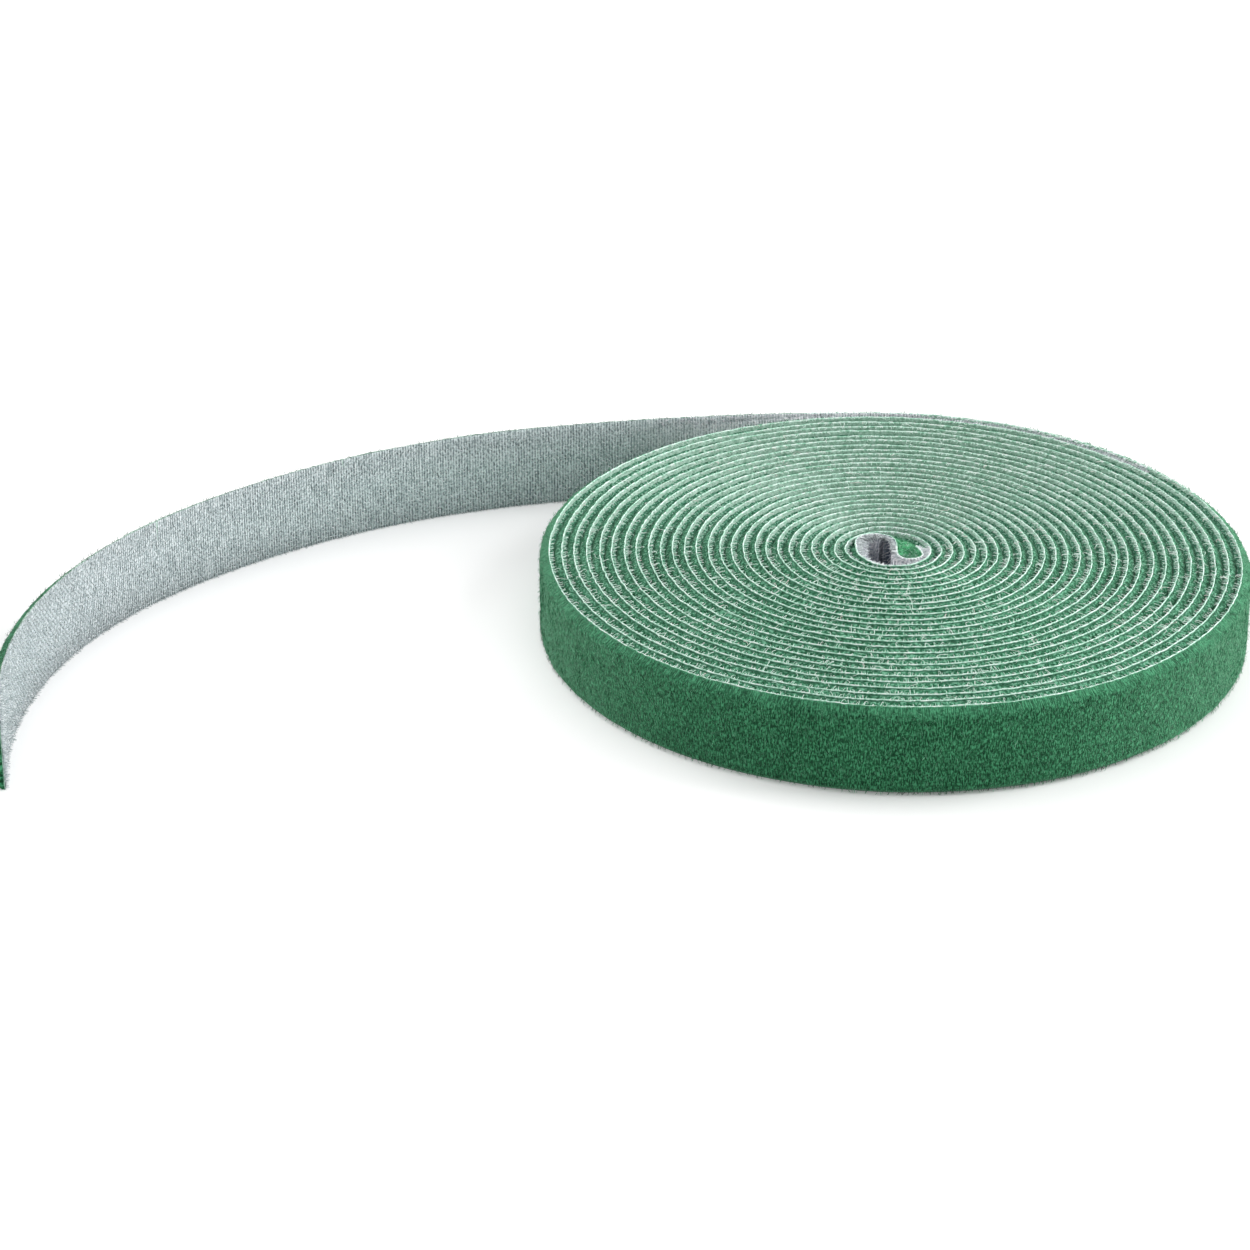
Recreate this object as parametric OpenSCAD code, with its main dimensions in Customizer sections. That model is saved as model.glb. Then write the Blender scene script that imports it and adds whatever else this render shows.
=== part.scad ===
// Flat roll of back-to-back hook-and-loop tape, lying on its side, with a free lead.
// The origin is on the roll's axis, on the face that the roll lies on. +Z is up, across the tape.
// The tape's line is the middle of its bonding film. Offsets from the line are positive towards
// the loop side, which is the outer side of the winding, and negative towards the hook side.

/* [Tape] */
// Width of the tape, which is the height of the roll
tape_w = 19; // [10:0.5:30]
// Thickness of the hook tape: ground and hooks
hook_t = 0.6; // [0.4:0.05:0.65]
// Thickness of the bonding film with the backs of both tapes
bond_t = 0.3; // [0.15:0.05:0.35]
// Thickness of the loop tape where the next turn presses its pile flat
loop_t = 0.7; // [0.4:0.05:0.75]
// Thickness of the loop tape where its pile stands free
free_loop_t = 1.9; // [1:0.1:2.2]

/* [Roll] */
// Radius at which the spiral of the tape's line would begin
first_r = 7.3; // [7:0.1:10]
// Distance between two turns near the middle of the roll
inner_pitch = 2.34; // [2.3:0.02:2.6]
// Distance between the two outermost turns
outer_pitch = 2.7; // [2.6:0.02:3.2]
// Whole turns of the coil, without the turns of the core and the outer turn
coil_turns = 24; // [6:1:24]
// Least clear distance between neighbouring turns at the core's curl
curl_gap = 0.45; // [0.42:0.01:0.6]
// Further distance of the eye's wall from the turn round it
eye_inset = 1; // [0.4:0.1:1.4]
// Length of the straight leg at the tape's inner end
inner_leg = 3.6; // [1:0.1:3.8]

/* [Free lead] */
// Length of the lead from where it leaves the roll to the first bend
lead_root = 30; // [26:1:36]
// Radius of that stretch
lead_root_r = 325; // [250:5:400]
// Length of each piece of the lead between two bends
lead_piece = 48; // [40:1:52]
// Length of the last piece, to the tape's outer end
lead_tail = 45; // [20:1:60]
// Radius of the first piece
lead_1_r = 325; // [250:5:400]
// Radius of the second piece
lead_2_r = 145; // [130:5:200]
// Radius of the third piece
lead_3_r = 155; // [130:5:200]
// Radius of the fourth piece
lead_4_r = 102; // [90:1:130]
// Radius of the last piece
lead_5_r = 112; // [90:1:200]
// Clearance between the rounded end and the hollow at a bend
bend_clearance = 0.1; // [0.08:0.01:0.15]

/* [Hidden] */
$fn = 96;

// Each layer is [offset of its inner face, offset of its outer face]
hook_face = -bond_t / 2 - hook_t;
pressed_face = bond_t / 2 + loop_t;
free_face = bond_t / 2 + free_loop_t;
hook_layer = [hook_face, -bond_t / 2];
bond_layer = [-bond_t / 2, bond_t / 2];
loop_layer = [bond_t / 2, pressed_face];
free_loop_layer = [bond_t / 2, free_face];

// Turns are counted from the left crossing of the innermost turn. A whole number of turns lies on
// the left of the axis, a half on the right, a quarter in front and three quarters behind.
core_turns = 1.8;
last_turn = coil_turns + 2.75;
pitch_growth = (outer_pitch - inner_pitch) / (2 * last_turn);

function spiral_r(turn) = first_r + inner_pitch * turn + pitch_growth * turn * turn;
// Places lie on hundredths of a millimetre and crossings on even ones, so that radii and centres are
// short numbers and the arcs meet exactly
function hundredth(size) = round(size * 100) / 100;
function even_hundredth(size) = 2 * hundredth(size / 2);

// Centre distances of neighbouring lines that leave curl_gap clear between their faces
hook_to_loop = pressed_face - hook_face + curl_gap;
hook_to_hook = -2 * hook_face + curl_gap;

// The curl in the core is an S: a small loop round the tape's inner end, a strip across the axis
// and a wider loop, the eye, whose wall runs on into the spiral. The strip stands over the origin.
strip_x = even_hundredth((bond_t + hook_t) / 2);
eye_wall = even_hundredth(spiral_r(1) - hook_to_loop - eye_inset);
function crossing(half) = half == 0 ? eye_wall : even_hundredth(spiral_r(half / 2));
function half_turn_r(half) = (crossing(half) + crossing(half + 1)) / 2;

// The first half turn bends round the small loop, hooks facing hooks
front_r = half_turn_r(0);
front_x = front_r - eye_wall;
small_loop_r = hundredth((crossing(1) - hook_to_hook - curl_gap - strip_x) / 2);
small_loop_x = strip_x + small_loop_r;
small_loop_reach = front_r - hook_to_hook - small_loop_r;
small_loop_y = -hundredth(sqrt(pow(small_loop_reach, 2) - pow(small_loop_x - front_x, 2)));

// The second half turn bends round the eye, hooks facing loops
back_r = half_turn_r(1);
back_x = crossing(1) - back_r;
eye_r = (strip_x + eye_wall) / 2;
eye_x = strip_x - eye_r;
eye_y = hundredth(sqrt(pow(back_r - hook_to_loop - eye_r, 2) - pow(eye_x - back_x, 2)));

// The route is a list of moves [radius, angle]: a positive radius and angle turn left, negative
// ones turn right, and [0, length] runs straight on
core_moves = [
    [0, inner_leg],
    [-small_loop_r, -180],
    [0, eye_y - small_loop_y],
    [eye_r, 180],
    [0, eye_y]
];
half_turns = floor(2 * last_turn);
spiral_moves = [
    for (half = [0 : half_turns])
        [half_turn_r(half), half < half_turns ? 180 : 180 * (2 * last_turn - half_turns)]
];
function sweep(length, radius) = length / radius * 180 / PI;
lead_radii = [lead_1_r, lead_2_r, lead_3_r, lead_4_r, lead_5_r];
LEADS = len(lead_radii);
lead_moves = [
    [lead_root_r, sweep(lead_root, lead_root_r)],
    for (lead = [1 : LEADS])
        [lead_radii[lead - 1], sweep(lead < LEADS ? lead_piece : lead_tail, lead_radii[lead - 1])]
];
ROUTE = concat(core_moves, spiral_moves, lead_moves);

// A place on the line is [x, y, heading]
route_start = [strip_x + 2 * small_loop_r, small_loop_y + inner_leg, -90];

function turned(place, radius, angle) =
    let (heading = place[2] + angle)
    [
        place[0] + radius * (sin(heading) - sin(place[2])),
        place[1] - radius * (cos(heading) - cos(place[2])),
        heading % 360
    ];
function straight(place, length) =
    [place[0] + length * cos(place[2]), place[1] + length * sin(place[2]), place[2]];
function moved(place, move) =
    move[0] == 0 ? straight(place, move[1]) : turned(place, move[0], move[1]);
function move_length(move) = move[0] == 0 ? move[1] : move[0] * move[1] * PI / 180;
function shortened(move, length) = [move[0], move[1] * length / move_length(move)];
function centre_of(place, move) =
    [place[0] - move[0] * sin(place[2]), place[1] + move[0] * cos(place[2])];

PLACES = [
    for (i = 0, place = route_start; i < len(ROUTE); place = moved(place, ROUTE[i]), i = i + 1) place
];
STARTS = [
    for (i = 0, run = 0; i < len(ROUTE); run = run + move_length(ROUTE[i]), i = i + 1) run
];
tape_length = STARTS[len(ROUTE) - 1] + move_length(ROUTE[len(ROUTE) - 1]);

function move_at(run) = max([for (i = [0 : len(ROUTE) - 1]) if (STARTS[i] <= max(run, 0)) i]);
function place_at(run) =
    let (i = move_at(run))
    moved(PLACES[i], shortened(ROUTE[i], run - STARTS[i]));
function run_at_turn(turn) =
    let (half = floor(2 * turn))
    STARTS[len(core_moves) + half] + half_turn_r(half) * PI * (2 * turn - half);

// Where one stretch of tape ends and the next begins, as lengths from the inner end
coil_start = run_at_turn(core_turns);
coil_end = run_at_turn(core_turns + coil_turns);
first_lead_move = len(core_moves) + len(spiral_moves);
function bend_run(lead) = STARTS[first_lead_move + lead];

// A stretch that would be shorter than this isn't drawn
least_stretch = 0.001;

// The lead bends about upright axes in the middle of the free tape's thickness
bend_offset = (free_face + hook_face) / 2;
bend_r = (free_face - hook_face) / 2;
// How far what is cut away reaches past the tape
cut_margin = 1;
function beside(place, offset) =
    [place[0] + offset * sin(place[2]), place[1] - offset * cos(place[2]), place[2]];
function bend_axis(lead) = beside(place_at(bend_run(lead)), bend_offset);

// Clear distance from the loop face of one turn to the hook face of the next, on points
gap_step = 1 / 24;
coil_gap = min([
    for (turn = [0.5 : gap_step : last_turn - 1])
        let (
            inside = beside(place_at(run_at_turn(turn)), pressed_face),
            outside = beside(place_at(run_at_turn(turn + 1)), hook_face)
        )
        norm([inside[0] - outside[0], inside[1] - outside[1]])
]);
// The same at the core's curl, from either face of the curl to the hook face of the turn round it.
// Points closer along the tape than curl_reach belong to one bend and don't face each other.
curl_step = 0.5;
curl_reach = 4 * (pressed_face - hook_face);
eye_end = STARTS[len(core_moves) - 1];
curl_gap_measured = min([
    for (run = [0 : curl_step : eye_end], turn = [0 : gap_step : 1], face = [hook_face, pressed_face])
        let (
            here = beside(place_at(run), face),
            there = beside(place_at(run_at_turn(turn)), hook_face)
        )
        if (run_at_turn(turn) - run > curl_reach)
            norm([here[0] - there[0], here[1] - there[1]])
]);
union() {
    echo(turns = last_turn, tape_length = tape_length, roll_radius = half_turn_r(half_turns) + free_face);
    echo(least_gap_of_coil = coil_gap, least_gap_of_curl = curl_gap_measured);
    echo(bends = [for (lead = [1 : LEADS]) bend_axis(lead)]);
}

// A layer along one move of the route, between two lengths from the start of the move. All parts of an
// arc turn about its one centre.
module along(i, from, to, layer) {
    place = PLACES[i];
    move = ROUTE[i];
    side = sign(move[0]);
    angles = [shortened(move, from)[1], shortened(move, to)[1]];
    layer_t = layer[1] - layer[0];
    if (side == 0)
        translate([place[0], place[1], 0])
            rotate(place[2])
                translate([from, -layer[1], 0])
                    cube([to - from, layer_t, tape_w]);
    else
        translate(centre_of(place, move))
            rotate_extrude(angle = abs(angles[1] - angles[0]), start = place[2] - 90 * side + min(angles))
                translate([abs(move[0]) + (side > 0 ? layer[0] : -layer[1]), 0])
                    square([layer_t, tape_w]);
}

// A layer of the tape from one length along the route to another, as one unbroken band. An overrun
// carries the last move on past its end.
module band(from, to, layer, overrun = 0) {
    first = move_at(from);
    last = move_at(to - least_stretch);
    for (i = [first : last])
        along(
            i,
            i == first ? from - STARTS[i] : 0,
            i == last ? to - STARTS[i] + overrun : move_length(ROUTE[i]),
            layer
        );
}

// An upright cylinder round the axis of a bend, taller than the tape
module bend_cylinder(lead, radius) {
    axis = bend_axis(lead);
    translate([axis[0], axis[1], -cut_margin])
        cylinder(r = radius, h = tape_w + 2 * cut_margin);
}

// What is cut off behind a bend to leave a rounded end
module rounding(lead) {
    axis = bend_axis(lead);
    half_w = bend_r + cut_margin;
    difference() {
        translate([axis[0], axis[1], -cut_margin])
            rotate(axis[2])
                translate([0, -half_w, 0])
                    cube([half_w, 2 * half_w, tape_w + 2 * cut_margin]);
        bend_cylinder(lead, bend_r - bend_clearance / 2);
    }
}

// The outer turn and the root of the lead: rounded at the first bend
module outer_turn_layer(layer) {
    difference() {
        band(coil_end, bend_run(1), layer, bend_r);
        rounding(1);
    }
}

// One piece of the lead: hollowed round the bend before it, rounded at the bend behind it
module lead_layer(lead, layer) {
    difference() {
        if (lead < LEADS)
            band(bend_run(lead), bend_run(lead + 1), layer, bend_r);
        else
            band(bend_run(lead), tape_length, layer);
        bend_cylinder(lead, bend_r + bend_clearance / 2);
        if (lead < LEADS)
            rounding(lead + 1);
    }
}

module core_hook_tape() { color("lightslategray") band(0, coil_start, hook_layer); }
module core_bond_film() { color("honeydew") band(0, coil_start, bond_layer); }
module core_loop_tape() { color("seagreen") band(0, coil_start, loop_layer); }

module coil_hook_tape() { color("lightslategray") band(coil_start, coil_end, hook_layer); }
module coil_bond_film() { color("honeydew") band(coil_start, coil_end, bond_layer); }
module coil_loop_tape() { color("seagreen") band(coil_start, coil_end, loop_layer); }

module outer_turn_hook_tape() { color("lightslategray") outer_turn_layer(hook_layer); }
module outer_turn_bond_film() { color("honeydew") outer_turn_layer(bond_layer); }
module outer_turn_loop_tape() { color("seagreen") outer_turn_layer(free_loop_layer); }

module lead_hook_tape(lead) { color("lightsteelblue") lead_layer(lead, hook_layer); }
module lead_bond_film(lead) { color("honeydew") lead_layer(lead, bond_layer); }
module lead_loop_tape(lead) { color("seagreen") lead_layer(lead, free_loop_layer); }

core_hook_tape();
core_bond_film();
core_loop_tape();
coil_hook_tape();
coil_bond_film();
coil_loop_tape();
outer_turn_hook_tape();
outer_turn_bond_film();
outer_turn_loop_tape();
for (lead = [1 : LEADS]) {
    lead_hook_tape(lead);
    lead_bond_film(lead);
    lead_loop_tape(lead);
}
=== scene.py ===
"""A flat roll of back-to-back hook-and-loop tape with a free lead, in metres, +Z across the tape.

Lengths inside the shape functions are in millimetres. The tape's line is the middle of its bonding
film. Offsets from the line are positive towards the pile, which is the outer side of the winding,
and negative towards the hooks. A run is a length along the line, counted from the place where the
spiral first crosses the axis on the left: the curl in the core has negative runs.
"""

import math

import bpy
import numpy as np
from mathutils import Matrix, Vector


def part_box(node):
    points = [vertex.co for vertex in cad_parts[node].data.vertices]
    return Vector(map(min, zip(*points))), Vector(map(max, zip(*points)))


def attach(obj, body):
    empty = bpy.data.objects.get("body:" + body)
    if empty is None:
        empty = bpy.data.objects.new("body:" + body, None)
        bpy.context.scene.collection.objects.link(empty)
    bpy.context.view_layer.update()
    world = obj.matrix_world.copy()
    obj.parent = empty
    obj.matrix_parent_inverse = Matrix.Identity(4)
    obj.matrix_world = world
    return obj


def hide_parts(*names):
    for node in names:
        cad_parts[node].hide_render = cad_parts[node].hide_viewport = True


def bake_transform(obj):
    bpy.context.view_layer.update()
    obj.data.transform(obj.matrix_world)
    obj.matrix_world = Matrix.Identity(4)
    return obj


bl_info = {
    "name": "Hook-and-loop tape roll",
    "version": (1, 0, 0),
    "blender": (4, 5, 0),
    "location": "3D View > Sidebar > Tape Roll",
    "description": "Builds a roll of back-to-back hook-and-loop tape around its packed frame",
    "category": "Add Mesh",
}

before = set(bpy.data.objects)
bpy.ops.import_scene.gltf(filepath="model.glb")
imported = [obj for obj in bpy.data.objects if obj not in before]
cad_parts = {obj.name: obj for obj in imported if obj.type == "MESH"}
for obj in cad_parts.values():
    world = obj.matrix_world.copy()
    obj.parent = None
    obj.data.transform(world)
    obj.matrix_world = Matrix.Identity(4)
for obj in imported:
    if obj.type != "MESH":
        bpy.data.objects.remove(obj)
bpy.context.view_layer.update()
MM = 0.001
TAPE_W = (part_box("coil_bond_film")[1].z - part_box("coil_bond_film")[0].z) / MM

# The winding, as in the solids
FIRST_R = 7.3
INNER_PITCH = 2.34
OUTER_PITCH = 2.7
LAST_TURN = 26.75
PITCH_GROWTH = (OUTER_PITCH - INNER_PITCH) / (2 * LAST_TURN)
LEAD_ROOT = 30.0
LEAD_PIECE = 48.0
LEAD_TAIL = 45.0
LEAD_ROOT_R = 325.0
LEAD_RADII = (325.0, 145.0, 155.0, 102.0, 112.0)
LEADS = len(LEAD_RADII)
LEAVING = 12  # before the spiral's end, where the hooks of the outer turn come free
TAIL_START = 16  # after the last bend

# The curl in the core: a strip across the axis between a small loop and the eye
STRIP_X = 1.4
EYE_WALL = 7.35
EYE_Y = 3.6
SMALL_LOOP_R = 2.62
SMALL_LOOP_Y = -2.2
END_LEG = 3.3
END_LEAN = 18.0

# Layers of the tape, as offsets from its line
FILM_IN = -0.15
FILM_OUT = 0.15
HOOK_DEPTH = 1.08
FREE_PILE = 1.95

LINE_STEP = 0.25


def spiral_radius(turn):
    """Radius of the line: it begins at FIRST_R and its pitch grows evenly from turn to turn."""
    return FIRST_R + INNER_PITCH * turn + PITCH_GROWTH * turn**2


def crossing(half):
    """Where the line crosses the axis after a number of half turns; the first is the eye's wall."""
    return EYE_WALL if half == 0 else round(spiral_radius(half / 2) / 0.02) * 0.02


def sweep(length, radius):
    """Angle in degrees of an arc of that length."""
    return math.degrees(length / radius)


def walk(place, moves):
    """Points along a list of moves (radius, angle) or (0, length), each sampled at even steps: on an
    arc the heading grows evenly, and the point is the centre plus the radius times (sine, minus
    cosine) of the heading."""
    x, y, heading = place
    points = []
    for radius, amount in moves:
        length = amount if radius == 0 else abs(radius * math.radians(amount))
        count = max(2, int(length / LINE_STEP))
        part = np.arange(count) / count
        start = math.radians(heading)
        if radius == 0:
            points.append(np.c_[x + part * amount * math.cos(start), y + part * amount * math.sin(start)])
            x, y = x + amount * math.cos(start), y + amount * math.sin(start)
        else:
            angle = start + part * math.radians(amount)
            end = start + math.radians(amount)
            cx, cy = x - radius * math.sin(start), y + radius * math.cos(start)
            points.append(np.c_[cx + radius * np.sin(angle), cy - radius * np.cos(angle)])
            x, y = cx + radius * math.sin(end), cy - radius * math.cos(end)
            heading += amount
    points.append([[x, y]])
    return np.concatenate(points)


def tape_route():
    """The whole line as arrays of run, point, normal towards the pile, and turn."""
    curl = [(0, END_LEG), (-SMALL_LOOP_R, -180 - END_LEAN), (0, EYE_Y - SMALL_LOOP_Y),
            ((STRIP_X + EYE_WALL) / 2, 180), (0, EYE_Y)]
    halves = int(2 * LAST_TURN)
    radii = [(crossing(h) + crossing(h + 1)) / 2 for h in range(halves + 1)]
    spiral = [(r, 180 if h < halves else 180 * (2 * LAST_TURN - halves)) for h, r in enumerate(radii)]
    lead = [(LEAD_ROOT_R, sweep(LEAD_ROOT, LEAD_ROOT_R))]
    lead += [(r, sweep(LEAD_TAIL if i == LEADS - 1 else LEAD_PIECE, r)) for i, r in enumerate(LEAD_RADII)]
    before = walk((0.0, 0.0, END_LEAN - 90), curl)
    after = walk((-EYE_WALL, 0.0, -90.0), spiral + lead)
    before = before + (np.array([-EYE_WALL, 0.0]) - before[-1])
    points = np.concatenate([before[:-1], after])
    run = np.r_[0, np.cumsum(np.hypot(*np.diff(points, axis=0).T))]
    run -= run[len(before) - 1]
    marks = np.r_[0, np.cumsum([math.radians(180 if h < halves else 90) * r for h, r in enumerate(radii)])]
    turns = np.r_[np.arange(halves + 1) / 2, LAST_TURN]
    turn = np.interp(run, marks, turns, left=0)
    points = points + side_of(points) * wander(turn, run, marks[-1])[:, None]
    points = smooth(points, 3)
    return run, points, side_of(points), turn, marks[-1]


def side_of(points):
    """Unit vectors to the right of the heading, which is the pile's side."""
    along = np.gradient(points, axis=0)
    along /= np.hypot(*along.T)[:, None]
    return np.c_[along[:, 1], -along[:, 0]]


def smooth(points, passes):
    """Each inner point moves halfway to the middle of its neighbours, several times over."""
    for _ in range(passes):
        points = points.copy()
        points[1:-1] += 0.5 * ((points[:-2] + points[2:]) / 2 - points[1:-1])
    return points


def soft_noise(a, b, cell_a, cell_b, seed):
    """Random numbers from -1 to 1 at the corners of a lattice of cells, blended between the corners
    with a smooth step."""
    a, b = np.broadcast_arrays(np.asarray(a, float) / cell_a, np.asarray(b, float) / cell_b)
    ia, ib = np.floor(a).astype(np.int64), np.floor(b).astype(np.int64)
    fa, fb = a - ia, b - ib
    fa, fb = fa * fa * (3 - 2 * fa), fb * fb * (3 - 2 * fb)

    def corner(i, j):
        mixed = (i * 374761393 + j * 668265263 + seed * 974634777) & 0xFFFFFFFF
        mixed = ((mixed ^ (mixed >> 13)) * 1274126177) & 0xFFFFFFFF
        return ((mixed ^ (mixed >> 16)) & 0xFFFF) / 32767.5 - 1

    low = corner(ia, ib) * (1 - fa) + corner(ia + 1, ib) * fa
    high = corner(ia, ib + 1) * (1 - fa) + corner(ia + 1, ib + 1) * fa
    return low * (1 - fb) + high * fb


def line_noise(a, cell, seed):
    """The same noise along one direction."""
    return soft_noise(a, 0 * a, cell, 1, seed)


def bump(value, centre, width):
    """A bell of height 1."""
    return np.exp(-(((value - centre) / width) ** 2))


def wander(turn, run, spiral_end):
    """How far the hand-wound line strays from the even spiral, outwards. It dies out before the lead."""
    stray = 0.11 * line_noise(turn, 0.11, 3) + 0.07 * line_noise(turn, 0.043, 4)
    stray += 0.6 * bump(turn, 0.25, 0.16) + 0.1 * bump(turn, 1.25, 0.15)
    ease = np.clip((spiral_end - LEAVING - run) / 25, 0, 1) * np.clip(run / 8, 0, 1)
    return stray * ease


RUN, POINT, SIDE, TURN, SPIRAL_END = tape_route()
BENDS = [SPIRAL_END + LEAD_ROOT + LEAD_PIECE * i for i in range(LEADS)]
MIDDLES = [SPIRAL_END + LEAD_ROOT / 2] + [b + LEAD_PIECE / 2 for b in BENDS[:-1]] + [BENDS[-1] + TAIL_START]
STRETCHES = list(zip(MIDDLES[:-1], MIDDLES[1:]))
CORE_START, ROOT_END, TAPE_END = RUN[0], MIDDLES[0], RUN[-1]
STRIP_RUN = CORE_START + END_LEG + SMALL_LOOP_R * math.radians(180 + END_LEAN)


def line_at(run):
    """Points and side vectors of the line at given runs."""
    point = np.stack([np.interp(run, RUN, POINT[:, k]) for k in (0, 1)], -1)
    side = np.stack([np.interp(run, RUN, SIDE[:, k]) for k in (0, 1)], -1)
    return point, side / np.linalg.norm(side, axis=-1, keepdims=True)


OPEN_ROOM = 9.0  # where no other turn lies beside the tape


def room_beside():
    """Distance from the line to the next tape line on its pile side and on its hook side, at sparse
    runs: from each sample to the nearest other sample that lies straight beside it."""
    runs = np.r_[np.arange(CORE_START, 130, 0.8), np.arange(130, TAPE_END, 2.0)]
    point, side = line_at(runs)
    pile, hook = np.full(len(runs), OPEN_ROOM), np.full(len(runs), OPEN_ROOM)
    fine = np.r_[np.arange(CORE_START, 300, 0.3), np.arange(300, TAPE_END, 1.0)]
    others = line_at(fine)[0]
    lateral_limit = np.where(fine < 300, 0.3, 0.8)
    for first in range(0, len(runs), 400):
        block = slice(first, first + 400)
        apart = others[None] - point[block, None]
        out = (apart * side[block, None]).sum(-1)
        along = apart[..., 0] * side[block, None, 1] - apart[..., 1] * side[block, None, 0]
        far = np.abs(fine[None] - runs[block, None]) > 4.5
        beside = far & (np.abs(along) < lateral_limit)
        pile[block] = np.minimum(pile[block], np.where(beside & (out > 0.1), out, OPEN_ROOM).min(1))
        hook[block] = np.minimum(hook[block], np.where(beside & (out < -0.1), -out, OPEN_ROOM).min(1))
    return runs, pile, hook


ROOM_RUN, PILE_ROOM, HOOK_ROOM = room_beside()


def pile_face(run):
    """Offset of the pile's outer face: free, or as far as the hooks of the next turn let it. Inside
    the small loop it meets the pile of the other side, and beside the strip it fills the gap."""
    room = np.interp(run, ROOM_RUN, PILE_ROOM)
    in_loop = np.clip((STRIP_RUN - run) / 1.5, 0, 1)
    room = room * (1 - 0.45 * in_loop) + 1.0 * in_loop
    free = FREE_PILE + 0.62 * in_loop + 2.6 * bump(run, STRIP_RUN + 5, 4.5)
    return np.clip(room - HOOK_DEPTH, FILM_OUT + 0.12, free)


def hook_reach(run):
    """How far the hooks stand from the line: less where two tapes are pressed together."""
    room = np.interp(run, ROOM_RUN, HOOK_ROOM)
    return np.clip(room - FILM_OUT - 0.35, 0.42, HOOK_DEPTH)


# ---- meshes


def on_tape(run, offset, height):
    """Places in space: the line's point, plus the offset along its side vector, at a height."""
    run, offset, height = np.broadcast_arrays(run, offset, height)
    point, side = line_at(run.ravel())
    flat = point + side * offset.ravel()[:, None]
    return np.c_[flat, height.ravel()].reshape(*run.shape, 3)


def sleeve(rings):
    """Vertices and faces of a closed sleeve: rings of points carried along the tape, joined by
    four-sided faces and shut by one face at each end. The rings turn from the pile's side over the
    top to the hooks' side, so the faces point outwards."""
    count, around = rings.shape[:2]
    index = np.arange(count * around).reshape(count, around)
    after = np.roll(index, -1, 1)
    quads = np.stack([index[:-1], index[1:], after[1:], after[:-1]], -1).reshape(-1, 4)
    return rings.reshape(-1, 3), [quads, index[:1], index[-1:, ::-1]]


STRAND_SIDES = 3


def unit(vectors):
    """Vectors divided by their lengths."""
    return vectors / (np.linalg.norm(vectors, axis=-1, keepdims=True) + 1e-12)


def strands(paths, radius, across, run, height, shade):
    """Many thin closed tubes, with the tape's map and a shade for each: every path of points is wrapped
    in rings whose points lie on circles of that radius, in the plane of the vector across the path
    and of its product with the path's direction."""
    count, steps = paths.shape[:2]
    along = unit(np.gradient(paths, axis=1))
    first = np.broadcast_to(across[:, None], along.shape)
    first = unit(first - along * (first * along).sum(-1, keepdims=True))
    second = np.cross(along, first)
    angle = np.arange(STRAND_SIDES) * 2 * np.pi / STRAND_SIDES
    radius = np.broadcast_to(radius, (count, steps))[..., None, None]
    circle = np.cos(angle)[:, None] * first[:, :, None] + np.sin(angle)[:, None] * second[:, :, None]
    rings = paths[:, :, None] + radius * circle
    index = np.arange(count * steps * STRAND_SIDES).reshape(count, steps, STRAND_SIDES)
    after = np.roll(index, -1, 2)
    quads = np.stack([index[:, :-1], after[:, :-1], after[:, 1:], index[:, 1:]], -1).reshape(-1, 4)
    shape = rings.reshape(-1, 3), [quads, index[:, 0, ::-1], index[:, -1]]
    each = steps * STRAND_SIDES
    return shape, np.repeat(np.c_[run, height], each, 0), np.repeat(shade, each)


def joined(parts):
    """Several (vertices, face lists) as one."""
    points, faces, offset = [], [], 0
    for vertices, groups in parts:
        points.append(vertices)
        faces += [g + offset for g in groups]
        offset += len(vertices)
    return np.concatenate(points), faces


def together(*made):
    """Several shapes of strands, with their tape maps and shades, as one."""
    shapes, maps, shades = zip(*made)
    return joined(shapes), np.concatenate(maps), np.concatenate(shades)


def mesh_piece(name, made, material):
    """An object at the origin from vertices in millimetres and lists of faces, the run and height of
    each vertex in millimetres and perhaps a number from 0 to 1 for its shade."""
    (vertices, groups), tape_uv, *tone = made
    groups = [np.asarray(g) for g in groups if len(g)]
    corners = np.concatenate([g.ravel() for g in groups]).astype(np.int32)
    sizes = np.concatenate([np.full(len(g), g.shape[1]) for g in groups])
    mesh = bpy.data.meshes.new(name)
    mesh.vertices.add(len(vertices))
    mesh.vertices.foreach_set("co", (vertices * MM).astype(np.float32).ravel())
    mesh.loops.add(len(corners))
    mesh.loops.foreach_set("vertex_index", corners)
    mesh.polygons.add(len(sizes))
    mesh.polygons.foreach_set("loop_start", np.r_[0, np.cumsum(sizes)[:-1]].astype(np.int32))
    mesh.polygons.foreach_set("use_smooth", sizes < 5)
    mesh.update(calc_edges=True)
    layer = mesh.uv_layers.new(name="tape")
    layer.data.foreach_set("uv", tape_uv[corners].astype(np.float32).ravel())
    for shade in tone:
        layer = mesh.attributes.new("tone", "FLOAT", "POINT")
        layer.data.foreach_set("value", shade.astype(np.float32))
    mesh.materials.append(material)
    piece = bpy.data.objects.new(name, mesh)
    bpy.context.scene.collection.objects.link(piece)
    return piece


def band(run, offset, height, mapped=None):
    """A closed sleeve along the tape and its map, which gives each vertex its run and its height, or
    another height mapped in its place."""
    places = np.broadcast_arrays(run, height if mapped is None else mapped)
    return sleeve(on_tape(run, offset, height)), np.stack(places, -1).reshape(-1, 2)


def edge_height(run):
    """How far the cut edge stands above or below the tape's nominal edge."""
    return 0.10 * line_noise(run, 9.0, 21) + 0.05 * line_noise(run, 1.7, 31)


def steps_between(start, end, step):
    """Even runs from start to end as a column, a step apart at most."""
    return np.linspace(start, end, max(3, int(math.ceil((end - start) / step)) + 1))[:, None]


OVERLAP = 0.5
BEND_MARGIN = 2.0
NO_FADE = 0.01
PILE_IN = FILM_OUT - 0.06  # the pile and the hooks begin a little inside the film
HOOKS_IN = FILM_IN + 0.06
PILE_SLOPE = 1.4  # how far from the cut edge the free pile is at its full thickness
FREE_FOOT = 0.1
FREE_ROWS = 34


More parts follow.
